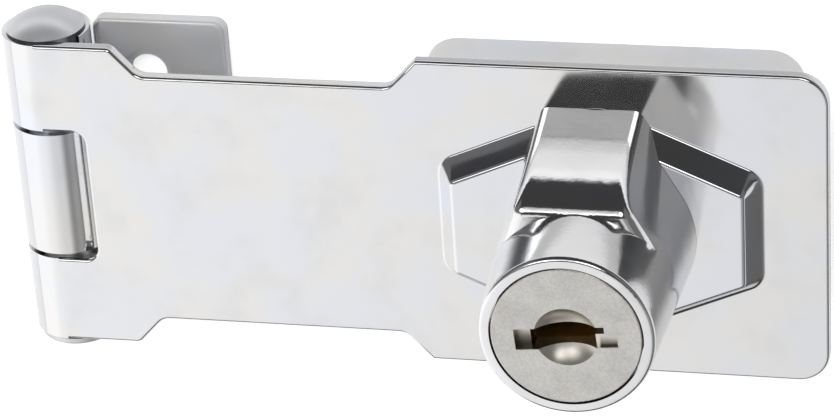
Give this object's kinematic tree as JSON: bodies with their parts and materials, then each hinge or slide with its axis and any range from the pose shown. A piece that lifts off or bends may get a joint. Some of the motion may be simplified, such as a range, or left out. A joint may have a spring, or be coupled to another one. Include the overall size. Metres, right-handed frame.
{
  "type": "keyed hasp lock",
  "caption": "Hinged hasp strap with a key-turned cylinder lock that turns a bar under a drawn keeper, screw mounted.",
  "frame": {"origin": "on the mounting surface at the lock's axis, midway between the keeper's two screw holes", "axes": "+Z out of the mounting surface along the lock's axis, +X from the hinge to the strap's free end, +Y along the hinge pin"},
  "size_m": [0.0794, 0.0349, 0.0294],
  "materials": {
    "bright_plate": "bright zinc-nickel plate, softly mirrored",
    "cast_chrome": "polished chrome on die-cast zinc",
    "satin_steel": "fine satin steel",
    "brass": "plain turned and stamped brass",
    "spring_steel": "drawn spring wire"
  },
  "bodies": {
    "base": {"hinge_leaf": "bright_plate", "hinge_pin": "bright_plate", "keeper": "bright_plate"},
    "strap_body": {"strap": "bright_plate", "lock_housing": "cast_chrome", "lock_washer": "spring_steel", "clamp_nut": "bright_plate"},
    "plug_body": {"plug_face": "satin_steel", "plug_core": "brass", "stop_washer": "spring_steel", "t_bolt": "bright_plate", "bolt_washer": "spring_steel", "bolt_screw": "bright_plate", "wafer_spring_1": "spring_steel", "wafer_spring_2": "spring_steel", "wafer_spring_3": "spring_steel", "wafer_spring_4": "spring_steel", "wafer_spring_5": "spring_steel"},
    "wafer_1_body": {"wafer_1": "brass"},
    "wafer_2_body": {"wafer_2": "brass"},
    "wafer_3_body": {"wafer_3": "brass"},
    "wafer_4_body": {"wafer_4": "brass"},
    "wafer_5_body": {"wafer_5": "brass"}
  },
  "joints": [
    {"name": "strap_hinge", "type": "hinge", "parent": "base", "child": "strap_body", "pos_m": [-0.0541, 0, 0.00424], "axis": [0, -1, 0], "range_deg": [0, 150]},
    {"name": "key_turn", "type": "hinge", "parent": "strap_body", "child": "plug_body", "pos_m": [0, 0, 0.015], "axis": [0, 0, 1], "range_deg": [0, 90]},
    {"name": "wafer_1_slide", "type": "slide", "parent": "plug_body", "child": "wafer_1_body", "axis": [0.9962, 0.0872, 0], "range_m": [0, 0.0009], "stiffness_N_per_m": 20, "springref_m": 0.003},
    {"name": "wafer_2_slide", "type": "slide", "parent": "plug_body", "child": "wafer_2_body", "axis": [0.9962, 0.0872, 0], "range_m": [0, 0.0009], "stiffness_N_per_m": 20, "springref_m": 0.003},
    {"name": "wafer_3_slide", "type": "slide", "parent": "plug_body", "child": "wafer_3_body", "axis": [0.9962, 0.0872, 0], "range_m": [0, 0.0009], "stiffness_N_per_m": 20, "springref_m": 0.003},
    {"name": "wafer_4_slide", "type": "slide", "parent": "plug_body", "child": "wafer_4_body", "axis": [0.9962, 0.0872, 0], "range_m": [0, 0.0009], "stiffness_N_per_m": 20, "springref_m": 0.003},
    {"name": "wafer_5_slide", "type": "slide", "parent": "plug_body", "child": "wafer_5_body", "axis": [0.9962, 0.0872, 0], "range_m": [0, 0.0009], "stiffness_N_per_m": 20, "springref_m": 0.003}
  ]
}
